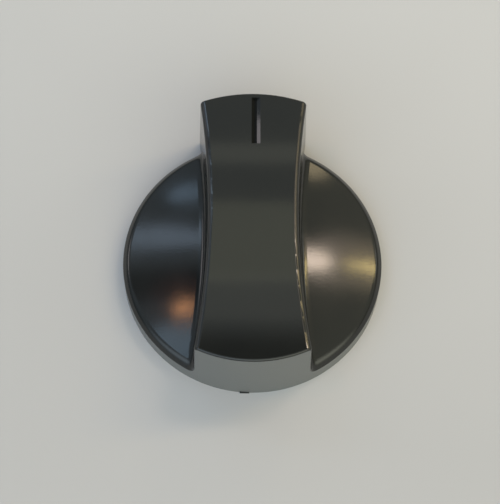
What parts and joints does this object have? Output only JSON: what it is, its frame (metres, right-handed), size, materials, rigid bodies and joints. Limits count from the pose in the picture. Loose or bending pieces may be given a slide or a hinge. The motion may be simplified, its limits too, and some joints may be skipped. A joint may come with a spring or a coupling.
{
  "type": "control knob",
  "caption": "Push-on rotary control knob for a cooker or hob: round domed skirt, waisted grip bar that ends in a pointer with a marker groove, and a sprung D-shaped shaft socket underneath.",
  "frame": {"origin": "on the shaft's axis, in the plane of the skirt's foot and the socket's mouth", "axes": "+Z along the shaft, from the panel towards the user; +Y from the shaft towards the pointer's end; +X to the right of the pointer"},
  "size_m": [0.0424, 0.0462, 0.0157],
  "materials": {
    "black_plastic": "satin-gloss black moulding, shiny on the grip and wings, duller on the skirt's wall",
    "spring_steel": "plain rolled spring strip"
  },
  "bodies": {
    "root": {"knob_body": "black_plastic", "shaft_spring": "spring_steel"}
  },
  "joints": []
}
